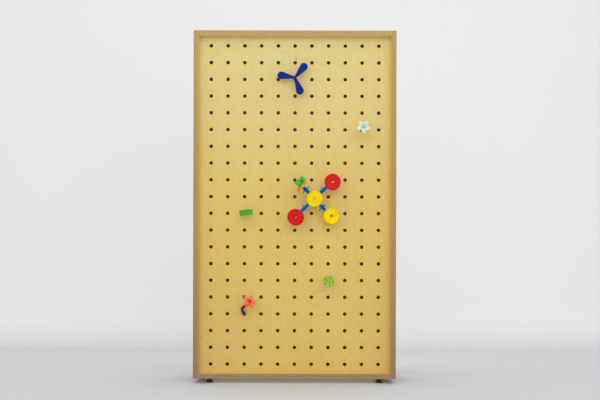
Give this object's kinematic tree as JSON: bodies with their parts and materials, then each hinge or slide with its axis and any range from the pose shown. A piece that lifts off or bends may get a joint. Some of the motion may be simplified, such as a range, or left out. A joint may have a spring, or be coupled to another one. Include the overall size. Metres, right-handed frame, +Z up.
{
  "type": "pegboard play panel",
  "caption": "Free-standing framed plywood peg board on short levelling feet, with plug-in spinning construction toys seated in its round holes.",
  "frame": {"origin": "on the floor, under the centre of the whole assembly's bounding box, toys included", "axes": "+Z up, -Y towards the front where the pegs plug in, +X to the right seen from the front"},
  "size_m": [0.6, 0.257, 1.045],
  "materials": {
    "birch_ply": "satin, clear lacquered birch plywood with bare laminated edges",
    "back_sheet": "raw thin birch plywood",
    "batten_pine": "raw planed softwood",
    "beech_dowel": "raw",
    "zinc_steel": "zinc plated",
    "foot_rubber": "matte, moulded",
    "peg_wood": "satin, warm stained",
    "deep_blue_plastic": "satin moulded",
    "frosted_white_plastic": "translucent, softly glossy",
    "teal_plastic": "glossy",
    "lime_plastic": "translucent, glossy",
    "sky_blue_plastic": "glossy",
    "green_plastic": "satin moulded",
    "purple_plastic": "matte, flexible",
    "coral_plastic": "translucent, glossy",
    "crimson_plastic": "glossy",
    "yellow_plastic": "satin moulded",
    "red_plastic": "satin moulded",
    "blue_plastic": "matte, slightly soft",
    "pale_blue_plastic": "thin, translucent",
    "orange_plastic": "satin moulded"
  },
  "bodies": {
    "case": {"side_left": "birch_ply", "side_right": "birch_ply", "top_board": "birch_ply", "bottom_board": "birch_ply", "peg_panel": "birch_ply", "back_panel": "back_sheet", "batten_left": "batten_pine", "batten_right": "batten_pine", "batten_top": "batten_pine", "batten_bottom": "batten_pine", "corner_dowels": "beech_dowel", "panel_screws": "zinc_steel", "back_screws": "zinc_steel", "foot_nuts": "zinc_steel"},
    "foot_front_left": {"foot_front_left_pad": "foot_rubber", "foot_front_left_stud": "zinc_steel"},
    "foot_front_right": {"foot_front_right_pad": "foot_rubber", "foot_front_right_stud": "zinc_steel"},
    "foot_back_left": {"foot_back_left_pad": "foot_rubber", "foot_back_left_stud": "zinc_steel"},
    "foot_back_right": {"foot_back_right_pad": "foot_rubber", "foot_back_right_stud": "zinc_steel"},
    "propeller_plug": {"propeller_peg": "peg_wood"},
    "propeller_head": {"propeller": "deep_blue_plastic"},
    "white_flower_plug": {"white_flower_peg": "peg_wood", "white_flower_button": "teal_plastic"},
    "white_flower_head": {"white_flower": "frosted_white_plastic"},
    "star_plug": {"star_peg": "peg_wood"},
    "star_head": {"green_flower": "lime_plastic", "blue_backing": "sky_blue_plastic"},
    "bar_plug": {"bar_peg": "peg_wood"},
    "bar_head": {"green_bar": "green_plastic"},
    "red_flower_plug": {"red_flower_stem": "purple_plastic"},
    "red_flower_head": {"red_flower": "coral_plastic", "red_flower_button": "crimson_plastic"},
    "cross_plug": {"cross_peg": "peg_wood"},
    "cross_hub": {"hub_spool": "yellow_plastic"},
    "arm_ur": {"ur_connector": "blue_plastic", "ur_disc": "pale_blue_plastic", "ur_spool": "red_plastic"},
    "arm_ul": {"ul_connector": "blue_plastic", "ul_disc": "pale_blue_plastic", "orange_disc": "orange_plastic", "green_block": "green_plastic"},
    "arm_ll": {"ll_connector": "blue_plastic", "ll_disc": "pale_blue_plastic", "ll_spool": "red_plastic"},
    "arm_lr": {"lr_connector": "blue_plastic", "lr_disc": "pale_blue_plastic", "lr_spool": "yellow_plastic"}
  },
  "joints": [
    {"name": "foot_front_left_turn", "type": "hinge", "parent": "case", "child": "foot_front_left", "pos_m": [-0.253, -0.0395, 0.007], "axis": [0, 0, -1], "continuous": true},
    {"name": "foot_front_right_turn", "type": "hinge", "parent": "case", "child": "foot_front_right", "pos_m": [0.253, -0.0395, 0.007], "axis": [0, 0, -1], "continuous": true},
    {"name": "foot_back_left_turn", "type": "hinge", "parent": "case", "child": "foot_back_left", "pos_m": [-0.253, 0.0965, 0.007], "axis": [0, 0, -1], "continuous": true},
    {"name": "foot_back_right_turn", "type": "hinge", "parent": "case", "child": "foot_back_right", "pos_m": [0.253, 0.0965, 0.007], "axis": [0, 0, -1], "continuous": true},
    {"name": "propeller_pull", "type": "slide", "parent": "case", "child": "propeller_plug", "axis": [0, -1, 0], "range_m": [0, 0.06]},
    {"name": "propeller_spin", "type": "hinge", "parent": "propeller_plug", "child": "propeller_head", "pos_m": [0, -0.1015, 0.905], "axis": [0, -1, 0], "continuous": true},
    {"name": "white_flower_pull", "type": "slide", "parent": "case", "child": "white_flower_plug", "axis": [0, -1, 0], "range_m": [0, 0.06]},
    {"name": "white_flower_spin", "type": "hinge", "parent": "white_flower_plug", "child": "white_flower_head", "pos_m": [0.2, -0.1015, 0.755], "axis": [0, -1, 0], "continuous": true},
    {"name": "star_pull", "type": "slide", "parent": "case", "child": "star_plug", "axis": [0, -1, 0], "range_m": [0, 0.06]},
    {"name": "star_spin", "type": "hinge", "parent": "star_plug", "child": "star_head", "pos_m": [0.1, -0.1015, 0.305], "axis": [0, -1, 0], "continuous": true},
    {"name": "bar_pull", "type": "slide", "parent": "case", "child": "bar_plug", "axis": [0, -1, 0], "range_m": [0, 0.06]},
    {"name": "bar_spin", "type": "hinge", "parent": "bar_plug", "child": "bar_head", "pos_m": [-0.15, -0.1015, 0.505], "axis": [0, -1, 0], "continuous": true},
    {"name": "red_flower_pull", "type": "slide", "parent": "case", "child": "red_flower_plug", "axis": [0, -1, 0], "range_m": [0, 0.06]},
    {"name": "red_flower_spin", "type": "hinge", "parent": "red_flower_plug", "child": "red_flower_head", "pos_m": [-0.14108, -0.08607, 0.23612], "axis": [0.4717, -0.7506, 0.4627], "continuous": true},
    {"name": "cross_pull", "type": "slide", "parent": "case", "child": "cross_plug", "axis": [0.1162, -0.9845, -0.1313], "range_m": [0, 0.06]},
    {"name": "cross_spin", "type": "hinge", "parent": "cross_plug", "child": "cross_hub", "pos_m": [0.05747, -0.0988, 0.54656], "axis": [0.1162, -0.9845, -0.1313], "continuous": true},
    {"name": "arm_ur_twist", "type": "hinge", "parent": "cross_hub", "child": "arm_ur", "pos_m": [0.07047, -0.09893, 0.559], "axis": [0.7222, -0.007, 0.6917], "continuous": true},
    {"name": "arm_ul_twist", "type": "hinge", "parent": "cross_hub", "child": "arm_ul", "pos_m": [0.0452, -0.10196, 0.55934], "axis": [-0.6819, -0.1752, 0.7102], "continuous": true},
    {"name": "arm_ll_twist", "type": "hinge", "parent": "cross_hub", "child": "arm_ll", "pos_m": [0.04447, -0.09868, 0.53411], "axis": [-0.7222, 0.007, -0.6917], "continuous": true},
    {"name": "arm_lr_twist", "type": "hinge", "parent": "cross_hub", "child": "arm_lr", "pos_m": [0.06975, -0.09565, 0.53377], "axis": [0.6819, 0.1752, -0.7102], "continuous": true}
  ]
}
